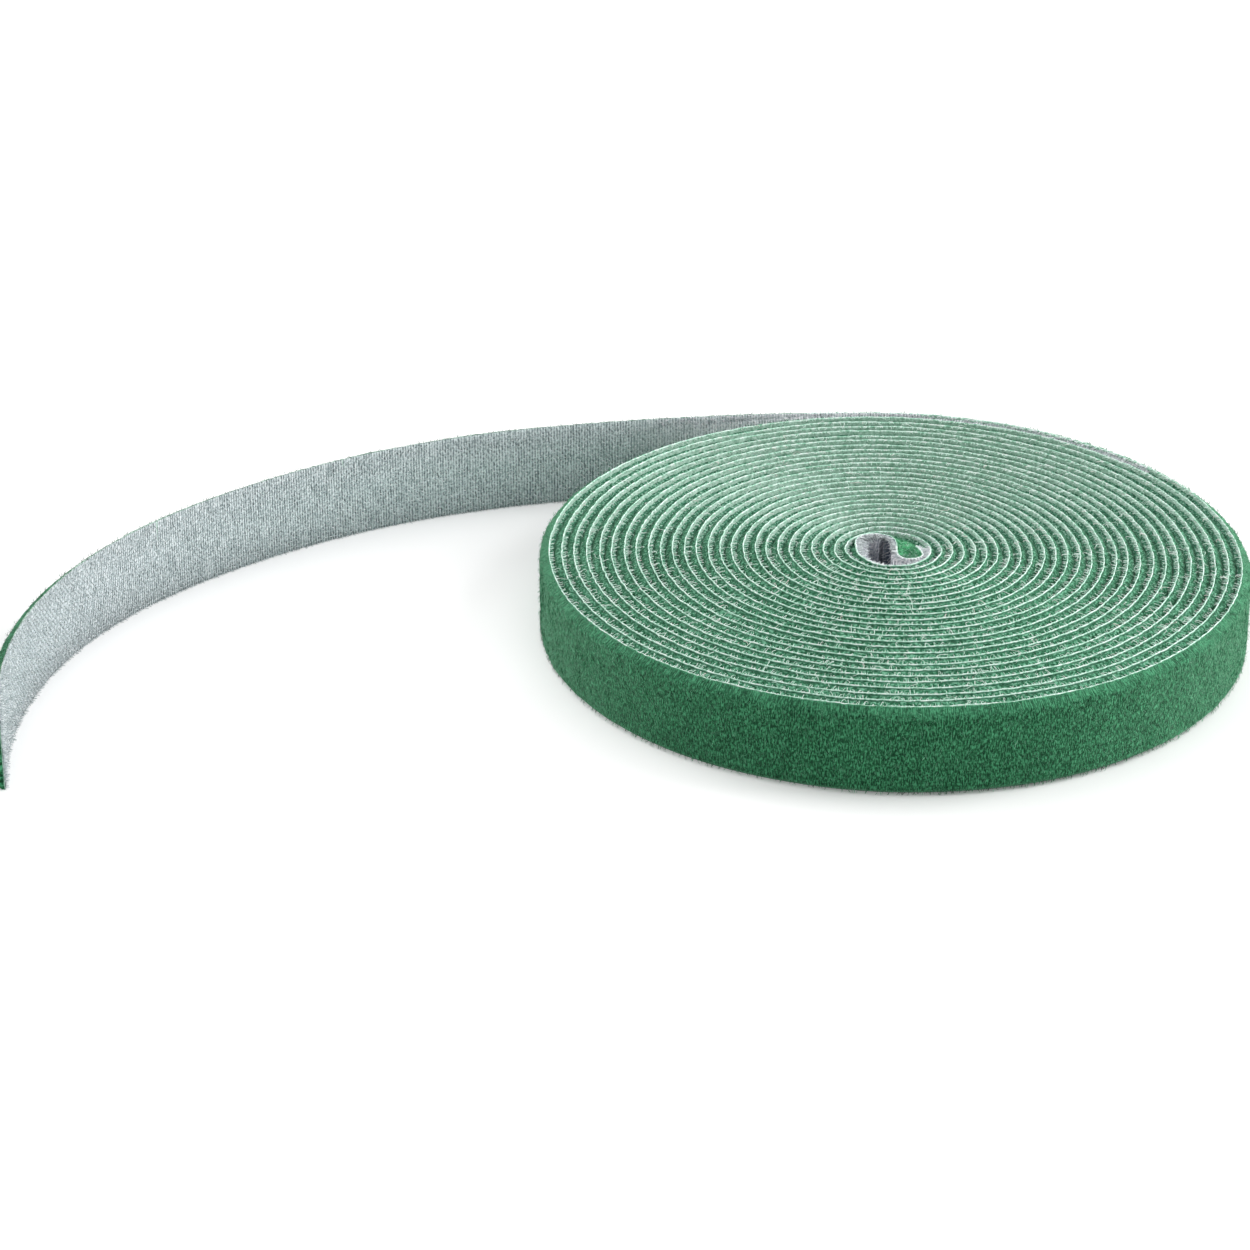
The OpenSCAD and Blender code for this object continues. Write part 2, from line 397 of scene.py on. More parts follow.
def narrowed(run):
    """1 along a piece and a little less at its two end rings, so that it slips under its neighbour."""
    share = np.ones_like(run)
    share[[0, -1]] = 0.86
    return share


def film_shape(start, end, step):
    """The film with both ground fabrics: a thin upright band with a bevelled cut edge that wavers a
    little to both sides and up and down, by noise of the run. Its map counts down from the edge, and
    its tone is 0 on the pile's side and 1 on the hooks' side."""
    run = steps_between(start, end, step)
    top = TAPE_W + edge_height(run) - 0.05 * (narrowed(run) < 1)
    waver = 0.07 * line_noise(run, 1.3, 40) + 0.07 * line_noise(run, 0.7, 41)
    low = 0.02 + 0.05 * (1 + line_noise(run, 2.3, 42))
    wide = np.array([FILM_OUT, FILM_OUT, 0.05, -0.05, FILM_IN, FILM_IN])
    is_top = np.array([0, 1, 1, 1, 1, 0])
    drop = np.array([0, 0.3, 0, 0, 0.3, 0])
    height = np.where(is_top, top - drop, low)
    offset = wide + waver * is_top
    hook_side = np.broadcast_to(wide < 0, offset.shape)
    return *band(run, offset, height, np.where(is_top, TAPE_W - drop, low)), hook_side.ravel()


def pile_band_shape(start, end, step):
    """The pressed pile between two turns: a band whose top begins just under the film's edge and
    falls away to its outer face, with noise added to its height and to that face."""
    run = steps_between(start, end, step)
    face = pile_face(run)
    share = np.array([1, 1, 0.82, 0.55, 0.25, 0, 0])
    drop = np.array([0.5, 1.4, 1.08, 0.8, 0.58, 0.46, 0.5])
    is_top = np.array([0, 1, 1, 1, 1, 1, 0])
    offset = PILE_IN + (face - PILE_IN) * share
    rough = soft_noise(run, offset, 0.9, 0.5, 51) * 0.17 + soft_noise(run, offset, 0.45, 0.3, 52) * 0.1
    rough = rough + soft_noise(run, offset, 12, 30, 54) * 0.08
    height = np.where(is_top, TAPE_W - drop + rough, drop)
    offset = offset + np.where(share == 1, 0.12 * soft_noise(run, drop, 0.9, 1, 53), 0)
    return band(run, offset, height)


def hook_ground_shape(start, end, step, lift=0.0, longer=1.0, fade=NO_FADE):
    """The mass of hooks deep behind the cut edge: a band on the film's hook side, lower than the
    cut hooks that stand over it unless it is lifted. Over its last length, fade, it sinks and thins."""
    run = steps_between(start, end, step)
    kept = np.clip((end - run) / fade, 0, 1)
    lift = lift - 1.6 * (1 - kept)
    reach = -(hook_reach(run) - 0.1) * longer * (0.3 + 0.7 * kept)
    share = np.array([0, 0, 0.5, 1, 1])
    drop = np.array([0.5, 1.0, 1.25, 1.45, 0.7])
    is_top = np.array([0, 1, 1, 1, 0])
    offset = HOOKS_IN + (reach - HOOKS_IN) * share
    rough = soft_noise(run, offset, 0.8, 0.3, 61) * 0.2
    height = np.where(is_top, TAPE_W - drop + lift + rough, drop)
    return band(run, offset, height)


def edge_slope(depth, reach):
    """A smooth step from 0 to 1 over a depth below a cut edge."""
    share = np.clip(depth / reach, 0, 1)
    return share * share * (3 - 2 * share)


def pile_fullness(height, foot=0.0):
    """Share of the free pile's thickness at a height: it falls off towards both cut edges."""
    low = edge_slope(height - foot + 0.25 * PILE_SLOPE, 1.25 * PILE_SLOPE)
    return np.minimum(low, edge_slope(TAPE_W - 0.15 - height, PILE_SLOPE))


def free_pile_shape(start, end):
    """The pile where it stands free: its face is a felt of small tufts, noise added to the offset,
    and it falls back to the film at both cut edges over a smooth step."""
    run = steps_between(start - OVERLAP, min(end + OVERLAP, TAPE_END), 0.5)
    face = PILE_IN + (pile_face(run) - PILE_IN) * narrowed(run)
    up = np.linspace(0, 1, FREE_ROWS)
    up = up - 0.2 * np.sin(2 * np.pi * up) / np.pi
    height = FREE_FOOT + up * (TAPE_W - 0.25)
    thick = pile_fullness(height, FREE_FOOT)
    felt = soft_noise(run, height, 0.9, 1.3, 71) * 0.1 + soft_noise(run, height, 0.5, 0.6, 72) * 0.06
    felt = felt + soft_noise(run, height, 5.0, 6.0, 73) * 0.08
    ribs = 0.06 * np.sin(2 * np.pi * run / 1.06) * np.clip(soft_noise(run, height, 30, 12, 74) + 0.35, 0, 1)
    outer = PILE_IN + 0.25 + (face - PILE_IN - 0.25) * thick + (felt + ribs) * (0.3 + 0.7 * thick)
    top = TAPE_W - 0.12 + 0.1 * line_noise(run, 0.9, 75)
    inner = PILE_IN + 0 * run
    offset = np.concatenate([inner, outer, inner], 1)
    level = np.concatenate([FREE_FOOT + 0 * run, np.broadcast_to(height, outer.shape), top], 1)
    level[:, -2] = level[:, -1] - 0.03
    return band(run, offset, level)


def hook_face_shape(start, end):
    """The ground fabric that the hooks stand on, on the hook side of the film: a woven face with
    shallow ribs, a cosine of the run with one rib to each column of hooks."""
    run = steps_between(start - OVERLAP, min(end + OVERLAP, TAPE_END), 0.16)
    height = np.linspace(TAPE_W - 0.1, 0.1, 3)
    weave = 0.03 * np.cos(2 * np.pi * run / COLUMN)
    face = FILM_IN + (weave - 0.12) * narrowed(run) + 0 * height
    inner = HOOKS_IN + 0 * run
    offset = np.concatenate([inner, face, inner], 1)
    level = np.broadcast_to(height[[0, 0, 1, 2, 2]], offset.shape)
    return band(run, offset, level)


# ---- strands


def frames(run):
    """Unit vectors out of the hook side, along the tape and up, at given runs."""
    _, side = line_at(run)
    out = np.c_[-side, 0 * run]
    along = np.c_[-side[:, 1], side[:, 0], 0 * run]
    return out, along, np.broadcast_to([0.0, 0.0, 1.0], out.shape)


def bent(base, *moves):
    """Paths from the base points: each move is a direction for every strand and how far its points go
    that way, one row of steps to a strand."""
    paths = base[:, None]
    for direction, amounts in moves:
        paths = paths + direction[:, None] * amounts[..., None]
    return paths


def turned(first, second, angle):
    """Unit vectors at an angle from the first towards the second."""
    return first * np.cos(angle)[:, None] + second * np.sin(angle)[:, None]


HOOK_OUT = (0.0, 0.28, 0.46, 0.5, 0.4)
HOOK_ALONG = (0.0, 0.02, 0.1, 0.22, 0.3)
HOOK_THICK = (0.12, 0.1, 0.1, 0.095, 0.06)
COLUMN = 0.645
KNOT = 1.55
TOP_KNOT = 18.7


def hook_field(start, end, seed, low=0.35, thin_until=None, step=KNOT):
    """Hooks in columns across the tape, neighbouring columns staggered by half a step. Each one is a stem
    that stands out of the ground and turns over along the tape, to the left or the right. Up to the run
    thin_until they grow in number from none, and the low ones are painted paler, a painted light against the
    shade near the floor."""
    rng = np.random.default_rng(seed)
    columns = np.arange(math.ceil(start / COLUMN), math.ceil(end / COLUMN))
    column, height = np.meshgrid(columns, np.arange(low, TOP_KNOT, step), indexing="ij")
    run = ((column + 0.25) * COLUMN + rng.normal(0, 0.05, column.shape)).ravel()
    height = (height + column % 2 * step / 2 + rng.normal(0, 0.08, column.shape)).ravel()
    share = 0.97 if thin_until is None else np.clip((run - start) / (thin_until - start), 0, 0.97)
    keep = (rng.random(len(run)) < share) & (height < TAPE_W - 0.12) & (run > start) & (run < end)
    run, height = run[keep], height[keep]
    count = len(run)
    out, along, up = frames(run)
    base = on_tape(run, FILM_IN - 0.1, height)
    turned_to = np.where(rng.random(count) < 0.5, 1.0, -1.0)
    size = 1 + rng.normal(0, 0.1, count)
    tilt = rng.normal(0, 0.3, count)
    paths = bent(base, (out, np.outer(size, HOOK_OUT)), (along, np.outer(turned_to * size, HOOK_ALONG)),
                 (up, np.outer(tilt, HOOK_ALONG)))
    # The low hooks are painted paler: painted light against the shade near the floor
    shade = np.clip(rng.random(count) + 0.3 * np.clip(1 - height / 6, 0, 1), 0, 1)
    return strands(paths, HOOK_THICK, up + along * tilt[:, None], run, height, shade)


def edge_hooks(start, end, seed, spacing, top=True, deepest=0.3, thick=0.07, longer=1.0, fade=NO_FADE):
    """The hooks cut through at an edge of the tape: short bristles that stand out of the film's hook
    side under its edge, like the teeth of a comb, some bent up, some along the tape. Over the last
    length, fade, they grow fewer."""
    rng = np.random.default_rng(seed)
    run = np.arange(start, end, spacing)
    run = run + rng.normal(0, 0.15 * spacing / 0.6, len(run))
    share = np.clip(0.9 + 0.25 * line_noise(run, 7, 81), 0.4, 1) * np.clip((end - run) / fade, 0, 1)
    run = run[rng.random(len(run)) < share]
    count = len(run)
    out, along, up = frames(run)
    depth = rng.uniform(0.05, deepest, count)
    base = on_tape(run, FILM_IN + 0.03, TAPE_W - depth if top else depth)
    reach = (hook_reach(run) + FILM_IN) * rng.uniform(0.45, 1.15, count) * longer
    lean = rng.normal(0, 0.35, count)
    rise = rng.normal(0.1, 0.22, count) * (1 if top else -0.4)
    forth, curl = (0, 0.4, 0.8, 1.0), (0, 0.04, 0.25, 0.6)
    paths = bent(base, (out, np.outer(reach, forth)), (along, np.outer(lean, curl)),
                 (up, np.outer(rise, curl)))
    paths[..., 2] = np.clip(paths[..., 2], 0.03, TAPE_W + 0.4)
    return strands(paths, thick * np.array([1.1, 1.0, 0.9, 0.6]), up, run, base[:, 2], rng.random(count))


def stray_hooks(start, end, seed, spacing):
    """Long cut hooks that have sprung out over the edge: each one crosses the gap to the next turn's
    pile and ends in a crook."""
    rng = np.random.default_rng(seed)
    run = rng.uniform(start, end, int((end - start) / spacing))
    run = run[rng.random(len(run)) < np.clip(0.6 + 0.25 * line_noise(run, 23, 82), 0.15, 1)]
    count = len(run)
    out, along, up = frames(run)
    base = on_tape(run, FILM_IN + 0.05, TAPE_W - rng.uniform(0.02, 0.2, count))
    length = rng.uniform(0.8, 1.7, count)
    side = rng.normal(0, 0.35, count)
    crook = rng.choice([-1.0, 1.0], count) * rng.uniform(0.1, 0.45, count)
    share = (0, 0.25, 0.5, 0.75, 0.95, 1.0, 0.86)
    bow = (0, 0.1, 0.2, 0.26, 0.22, 0.1, -0.02)
    turn = (0, 0, 0.05, 0.2, 0.6, 1.1, 1.35)
    paths = bent(base, (out, np.outer(length, share)), (along, np.outer(side, share) + np.outer(crook, turn)),
                 (up, np.outer(rng.uniform(0.5, 1.6, count), bow)))
    thick = (0.075, 0.07, 0.065, 0.065, 0.06, 0.06, 0.045)
    return strands(paths, thick, up, run, base[:, 2], rng.random(count))


def band_tufts(start, end, seed, spacing):
    """Loops of pile that stand out of the pressed band's cut edge, bent over at random."""
    rng = np.random.default_rng(seed)
    run = np.arange(start, end, spacing)
    run = run + rng.uniform(-0.3, 0.3, len(run))
    run = run[(run > start) & (run < end)]
    count = len(run)
    out, along, up = frames(run)
    share = rng.uniform(0.08, 1.0, count)
    base = on_tape(run, FILM_OUT + (pile_face(run) - FILM_OUT) * share, TAPE_W - 0.68 - 0.36 * share**3)
    sideways = turned(along, out, rng.uniform(0, 2 * np.pi, count))
    size = rng.uniform(0.6, 1.3, count)
    paths = bent(base, (up, np.outer(size, [0, 0.26, 0.3])), (sideways, np.outer(size, [0, 0.16, 0.55])))
    across = np.cross(sideways, up)
    return strands(paths, (0.06, 0.05, 0.03), across, run, base[:, 2], rng.random(count))


def wall_tufts(start, end, seed, density):
    """Loops of the free pile. Most lie on the felt, brushed up or down the tape, and some stand out of it as
    fuzz, painted paler as a painted sheen. Along the upper edge they are thicker and reach over it."""
    rng = np.random.default_rng(seed)
    count = int((end - start) * TAPE_W * density)
    rim = int((end - start) * 4)
    run = rng.uniform(start, end, count + rim)
    height = np.r_[rng.uniform(0.2, TAPE_W - 0.2, count), TAPE_W - 0.15 - np.abs(rng.normal(0, 1.1, rim))]
    hookward, along, up = frames(run)
    out = -hookward
    inner = FILM_OUT + 0.19
    face = inner + (pile_face(run) - inner) * pile_fullness(height)
    base = on_tape(run, face - 0.05, height)
    spin = np.where(np.arange(len(run)) < count, 0.4, 1.6)
    angle = rng.normal(np.pi / 2, spin) * rng.choice([-1, 1], len(run), p=[0.7, 0.3])
    sideways = turned(along, up, angle)
    fuzz = rng.random(len(run)) < 0.32
    size = rng.uniform(0.6, 1.4, len(run))
    rise = np.where(fuzz[:, None], [-0.1, 0.3, 0.56], [-0.1, 0.16, 0.06])
    spread = np.where(fuzz[:, None], [0, 0.12, 0.36], [0, 0.45, 0.95])
    paths = bent(base, (out, rise * size[:, None]), (sideways, spread * size[:, None]))
    paths[..., 2] = np.clip(paths[..., 2], 0.04, TAPE_W + 0.15)
    radius = np.where(fuzz[:, None], [0.034, 0.026, 0.016], [0.052, 0.046, 0.026])
    streak = 0.38 * soft_noise(run, height, 0.45, 5.0, 77)
    # Fuzz is painted paler: a painted sheen where it stands out and catches the light
    shade = np.clip(rng.random(len(run)) * 0.7 + np.where(fuzz, 0.28, 0) + streak, 0, 1)
    return strands(paths, radius, np.cross(sideways, out), run, height, shade)


def stray_hairs(seed, count):
    """Long loose hairs that lie over the cut edges: arcs of a few millimetres at random places."""
    rng = np.random.default_rng(seed)
    run = rng.uniform(60, SPIRAL_END - 480, count)
    out, along, up = frames(run)
    base = on_tape(run, rng.uniform(-0.6, 1.2, count), TAPE_W - 0.1)
    sideways = turned(along, out, rng.uniform(0, 2 * np.pi, count))
    across = np.cross(sideways, up)
    length = rng.uniform(0.8, 3.2, count)
    share = np.linspace(0, 1, 7)
    arch = np.sin(np.pi * share) * 0.35
    sway = np.sin(np.pi * 1.6 * share) * 0.25
    paths = bent(base, (sideways, np.outer(length, share)),
                 (up, np.outer(rng.uniform(0.5, 1.4, count), arch)),
                 (across, np.outer(length, sway) * rng.choice([-1, 1], count)[:, None]))
    thick = (0.045, 0.055, 0.055, 0.055, 0.055, 0.05, 0.035)
    return strands(paths, thick, across, run, base[:, 2], rng.random(count))


# ---- materials


def linear(colour):
    """A colour written as six hex digits, as linear numbers."""
    channels = [int(colour[k:k + 2], 16) / 255 for k in (0, 2, 4)]
    return [c / 12.92 if c <= 0.04045 else ((c + 0.055) / 1.055) ** 2.4 for c in channels] + [1.0]


class Nodes:
    """The nodes of a material or of the world, with short ways to add more. A value is a number, a
    vector, a colour of six hex digits or what comes out of another node."""

    def __init__(self, owner):
        owner.use_nodes = True
        self.tree = owner.node_tree

    def put(self, socket, value):
        if isinstance(value, bpy.types.NodeSocket):
            self.tree.links.new(value, socket)
        else:
            socket.default_value = linear(value) if isinstance(value, str) else value

    def add(self, kind, inputs=(), **settings):
        node = self.tree.nodes.new(kind)
        for key, value in settings.items():
            setattr(node, key, value)
        for key, value in dict(inputs).items():
            self.put(node.inputs[key], value)
        return node

    def surface(self, **values):
        for key, value in values.items():
            self.put(self.tree.nodes["Principled BSDF"].inputs[key.replace("_", " ")], value)

    def cloth(self, colour, rough, gloss, sheen, sheen_rough=0.4, tint="ffffff", **more):
        """A soft surface, with a sheen where it is seen from the side."""
        self.surface(Base_Color=colour, Roughness=rough, Specular_IOR_Level=gloss, Sheen_Weight=sheen,
                     Sheen_Roughness=sheen_rough, Sheen_Tint=tint, **more)

    def ramp(self, factor, *stops):
        node = self.add("ShaderNodeValToRGB", {"Fac": factor})
        elements = node.color_ramp.elements
        while len(elements) < len(stops):
            elements.new(0.5)
        for element, (position, colour) in zip(elements, stops):
            element.position, element.color = position, linear(colour)
        return node.outputs["Color"]

    def noise(self, scale, detail=2.0, vector=None):
        if vector is None:
            vector = self.add("ShaderNodeTexCoord").outputs["Object"]
        inputs = {"Vector": vector, "Scale": scale, "Detail": detail}
        return self.add("ShaderNodeTexNoise", inputs).outputs["Fac"]

    def maths(self, operation, *values):
        return self.add("ShaderNodeMath", enumerate(values), operation=operation).outputs[0]

    def scaled(self, value, low, high, to_low=0.0, to_high=1.0, kind="LINEAR"):
        """A number brought from the range low to high into another one, and kept within it."""
        ranges = enumerate((value, low, high, to_low, to_high))
        return self.add("ShaderNodeMapRange", ranges, interpolation_type=kind).outputs["Result"]

    def mix(self, factor, a, b, blend="MIX"):
        sockets = {0: factor, 6: a, 7: b}
        return self.add("ShaderNodeMix", sockets, data_type="RGBA", blend_type=blend).outputs[2]

    def bump(self, height, strength, distance):
        inputs = {"Height": height, "Strength": strength, "Distance": distance}
        return self.add("ShaderNodeBump", inputs).outputs[0]

    def tone(self):
        """The shade that each vertex carries."""
        return self.add("ShaderNodeAttribute", attribute_name="tone").outputs["Fac"]

    def places(self):
        """The tape's own map, and the run and height in millimetres from it."""
        uv = self.add("ShaderNodeUVMap", uv_map="tape").outputs["UV"]
        split = self.add("ShaderNodeSeparateXYZ", {"Vector": uv})
        return uv, split.outputs["X"], split.outputs["Y"]


def paint_pile(n, brim_highlight, sheen):
    """Brushed green loops: a felt of fine upright strands, dark between them, with a pale sheen where the
    strands' ends are seen from the side. Near the upper edge the loops are lighter by a painted highlight, in
    a band with a ragged lower edge."""
    uv, _, height = n.places()
    brushed = n.add("ShaderNodeMapping", {"Vector": uv, "Scale": (4.4, 0.9, 1.0)}).outputs["Vector"]
    strand = n.noise(1.0, 4.0, brushed)
    fine, clumps = n.noise(2300.0, 3.0), n.noise(260.0, 3.0)
    grain = n.maths("MULTIPLY_ADD", strand, 0.65, n.maths("MULTIPLY", fine, 0.35))
    colour = n.ramp(grain, (0.42, "09281a"), (0.5, "245f3d"), (0.58, "58aa7d"))
    felt = n.mix(0.25, colour, n.ramp(clumps, (0.35, "1a4f33"), (0.65, "337650")))
    # Painted highlight along the upper edge, its lower edge made ragged by noise
    highlight_reach = n.maths("MULTIPLY_ADD", strand, 5.0, n.maths("MULTIPLY_ADD", clumps, 3.0, height))
    painted_brim_highlight = n.scaled(highlight_reach, TAPE_W + 1.6, TAPE_W + 4.2, 0.0, brim_highlight)
    relief = n.bump(grain, 1.0, 0.0005)
    n.cloth(n.mix(painted_brim_highlight, felt, "62b088"), 0.95, 0.1, sheen, 0.35, "b0f0ca", Normal=relief)


def paint_pressed_pile(n):
    """The cut edge of the pressed pile: the same loops, dark between them, with pale ends, and darker with
    the depth below the edge by a painted shade."""
    _, run, height = n.places()
    fine, clumps = n.noise(1700.0, 3.0), n.noise(240.0, 2.0)
    colour = n.ramp(fine, (0.39, "1a452f"), (0.5, "3c7f5e"), (0.63, "8bcaab"))
    wide = n.ramp(clumps, (0.35, "296646"), (0.7, "539672"))
    # Painted shade: darker the deeper it lies below the cut edge
    painted_depth_shade = n.scaled(height, TAPE_W - 0.7, TAPE_W - 1.6)
    loops = n.mix(painted_depth_shade, n.mix(0.3, colour, wide), "74897d", "MULTIPLY")
    curled = n.scaled(run, STRIP_RUN + 10, STRIP_RUN + 6, 0.0, 0.55)
    n.cloth(n.mix(curled, loops, "52b878"), 0.9, 0.15, 0.25, tint="c9f0da", Normal=n.bump(fine, 0.9, 0.0004))


def paint_strands(n, stops, rough=0.8, gloss=0.2, sheen=0.3):
    """Fine loops or hooks: each strand has a shade of its own."""
    ends = n.maths("MULTIPLY", n.noise(900.0), 0.5)
    n.cloth(n.mix(ends, n.ramp(n.tone(), *stops), stops[1][1]), rough, gloss, sheen, tint=stops[-1][1])


def paint_film(n, stops):
    """The bonded backs of both tapes: pale along the cut edge, with a fine grain of threads. Under it
    the pile's side is green and the hooks' side is mint."""
    _, _, height = n.places()
    grain = n.noise(1300.0, 3.0)
    edge = n.ramp(grain, *zip((0.36, 0.5, 0.62), stops))
    green = n.ramp(grain, (0.35, "285f44"), (0.65, "58967a"))
    mint = n.ramp(grain, (0.35, "90b8a3"), (0.65, "c8e4d7"))
    cut = n.scaled(height, TAPE_W - 0.27, TAPE_W - 0.12)
    colour = n.mix(cut, n.mix(n.tone(), green, mint), edge)
    n.cloth(colour, 0.6, 0.3, 0.15, Normal=n.bump(grain, 0.5, 0.0002))


def paint_hook_mass_shade(n):
    """The depth between the cut hooks: dark green as a painted shade, with a few pale strands."""
    fine = n.noise(1900.0, 3.0)
    # Painted shade: the depth between the hooks is dark green
    colour = n.ramp(fine, (0.40, "2d6048"), (0.54, "599a7d"), (0.68, "bce0ce"))
    n.cloth(colour, 0.8, 0.2, 0.05, Normal=n.bump(fine, 0.8, 0.0004))


def paint_hook_ground(n, stops, pit_colour, shade=("ffffff", "ffffff"), full_painted_shade=0.0, no_painted_shade=1.0,
                      painted_shade_from=None):
    """The woven ground of the hook tape: pale grey threads in columns, with dark pits in a staggered lattice
    between the feet of the hooks. The pits are upright ovals about the points where the column number and the
    height over the knot length, half a step on in every other column, are whole. The light between the
    columns falls off as a cosine. A painted shade, one colour low down and one near the edge, fades evenly
    between two runs, and where painted_shade_from is given it begins there."""
    uv, run, height = n.places()
    shift = n.noise(0.9, 1.0, uv)
    column = n.maths("MULTIPLY_ADD", shift, 0.5, n.maths("MULTIPLY", run, 1 / COLUMN))
    whole = n.maths("ROUND", column)
    stagger = n.maths("MULTIPLY", n.maths("FLOORED_MODULO", whole, 2.0), 0.5)
    knot = n.maths("ADD", n.maths("MULTIPLY_ADD", shift, 1.6, n.maths("MULTIPLY", height, 1 / KNOT)), stagger)
    across = n.maths("MULTIPLY", n.maths("SUBTRACT", column, whole), COLUMN)
    along = n.maths("MULTIPLY", n.maths("SUBTRACT", knot, n.maths("ROUND", knot)), KNOT * 0.6)
    far = n.maths("SQRT", n.maths("ADD", n.maths("POWER", across, 2.0), n.maths("POWER", along, 2.0)))
    pit = n.scaled(far, 0.24, 0.12, kind="SMOOTHSTEP")
    depth = n.maths("MULTIPLY", pit, n.scaled(n.noise(0.3, 4.0, uv), 0.35, 0.65, 0.1, 0.7))
    threads = n.add("ShaderNodeMapping", {"Vector": uv, "Scale": (2.4, 0.2, 1.0)}).outputs["Vector"]
    streak, grain = n.noise(1.0, 3.0, threads), n.noise(1900.0, 3.0)
    rib = n.maths("COSINE", n.maths("MULTIPLY", column, 2 * math.pi))
    woven = n.maths("MULTIPLY_ADD", streak, 0.5, n.maths("MULTIPLY_ADD", grain, 0.75, -0.125))
    value = n.maths("MULTIPLY_ADD", rib, -0.08, woven)
    colour = n.ramp(value, *zip((0.36, 0.5, 0.64), stops))
    # Painted shade: it multiplies the colour fully up to one run and not at all past the other
    painted_shade_strength = n.scaled(run, full_painted_shade, no_painted_shade, 1.0, 0.0)
    if painted_shade_from is not None:
        painted_shade_strength = n.maths("MULTIPLY", painted_shade_strength, n.maths("GREATER_THAN", run, painted_shade_from))
    tint = n.ramp(n.maths("DIVIDE", height, TAPE_W), *zip((0.55, 0.9), shade))
    colour = n.mix(painted_shade_strength, colour, tint, "MULTIPLY")
    relief = n.bump(n.maths("SUBTRACT", value, depth), 0.7, 0.0003)
    n.cloth(n.mix(depth, colour, pit_colour), 0.75, 0.25, 0.1, Normal=relief)


# The function that paints each material, and the values it is given. The hook tape's ground carries painted
# light and shade: on the lead it has a painted shade near the roll, tinted green as a painted reflection of
# the pile; at its root it is painted paler, a painted light against the shade of the gap, and along the first
# stretch it becomes like the rest; in the core it is painted near white, a painted light against the depth of
# the eye, with a painted slate shade on the eye's far wall. The lead's film and loops are darker copies of
# the roll's, a painted shade. Cut hooks are clear stiff fibres, a few faintly rosy.
LOOKS = {
    # The roll's pile has a painted highlight along its upper edge; the lead's pile has none
    "green_pile": (paint_pile, 0.3, 0.8),
    "lead_pile": (paint_pile, 0.0, 0.35),
    "pressed_pile": (paint_pressed_pile,),
    "bonding_film": (paint_film, ("90caad", "cbf0df", "f0fcf6")),
    # A darker copy of the film for the lead: painted shade
    "lead_film_painted_shade": (paint_film, ("526e60", "839f91", "b4cbbf")),
    "hook_mass": (paint_hook_mass_shade,),
    # Painted shade near the roll, tinted green as a painted reflection of the pile
    "lead_ground_painted_shade": (paint_hook_ground, ("8e9a9c", "bac5c8", "e3e9eb"), "4a5656", ("e9faf3", "f7fffc"),
                    SPIRAL_END + 30, SPIRAL_END + 190),
    # Paler than the lead's ground: painted light against the shade at the root; it takes on the lead's
    # painted shade along the first stretch
    "root_ground_painted_light": (paint_hook_ground, ("b4bec2", "dde4e8", "fbfbfd"), "707b7a", ("c7d9d3", "d1ddda"),
                    MIDDLES[1], ROOT_END),
    # Near white, painted light against the eye's depth, with painted slate shade on the eye's far wall
    "core_ground_painted_light_shade": (paint_hook_ground, ("d6dae2", "f4f6f9", "ffffff"), "929ba7", ("76828f", "76828f"),
                    -13.6, -10.9, -19.0),
    "core_ring": (paint_hook_ground, ("8a9097", "b3b6bb", "dedade"), "666f78"),
    "core_bank": (paint_hook_ground, ("6f7680", "989ea7", "cccad1"), "5b636d"),
    "pile_loops": (paint_strands, ((0.05, "1c5539"), (0.45, "3b8862"), (0.8, "82c3a2"), (1.0, "d8f0e4"))),
    "wall_loops": (paint_strands, ((0.05, "103925"), (0.4, "2b704c"), (0.75, "62b086"), (1.0, "a8e2c2")),
                   0.9, 0.1, 0.8),
    # A darker copy of the loops for the lead: painted shade
    "lead_loops_painted_shade": (paint_strands, ((0.05, "15342a"), (0.5, "2d5845"), (0.85, "55806a"), (1.0, "86aa98")),
                   0.9, 0.1, 0.3),
    "cut_hooks": (paint_strands, ((0.0, "a3cfb8"), (0.3, "d4eee1"), (0.93, "f6fcf9"), (1.0, "f5dcdc")),
                  0.4, 0.35, 0.1),
    "grey_hooks": (paint_strands, ((0.0, "a8b3b4"), (0.5, "cdd6d7"), (1.0, "eff3f4")), 0.4, 0.35, 0.1),
    "core_hooks": (paint_strands, ((0.0, "ccd0d9"), (0.5, "e3e2e9"), (1.0, "faf6f9")), 0.4, 0.35, 0.1),
}


def look(name):
    """The material of that name, made when it is first asked for."""
    material = bpy.data.materials.get(name)
    if material is None:
        material = bpy.data.materials.new(name)
        paint, *details = LOOKS[name]
        paint(Nodes(material), *details)
    return material


# ---- pieces

BODIES = ["roll"] + [f"lead_{k}" for k in range(1, LEADS + 1)]
ROOT_SHOWS = 60  # before LEAD_LEAVES, where hooks first show beside the outer turn
BANK = (-12.5, 2)  # the runs between which the eye's left wall shows its hooks
EYE_RING_START = 9.5


def run_of_turn(turn):
    """The run at which the winding has made so many turns."""
    return float(np.interp(turn, TURN[RUN > 0], RUN[RUN > 0]))


EYE_END, CORE_END, PRESSED_END, COIL_END = map(run_of_turn, (0.52, 1.8, 25.74, 25.8))
LEAD_LEAVES = SPIRAL_END - LEAVING


def portions(start, end, count):
    """Equal portions of a stretch, numbered from 1."""
    marks = np.linspace(start, end, count + 1)
    return enumerate(zip(marks[:-1], marks[1:]), 1)


def carry(piece, index):
    """Bakes a lead piece's placement into its mesh. The ends of its stretch, a bend margin in from each side,
    are worked out but not used.
    """
    first, last = STRETCHES[index - 1]
    ends = on_tape(np.array([first + BEND_MARGIN, last - BEND_MARGIN]), 0.0, TAPE_W / 2) * MM
    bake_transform(piece)


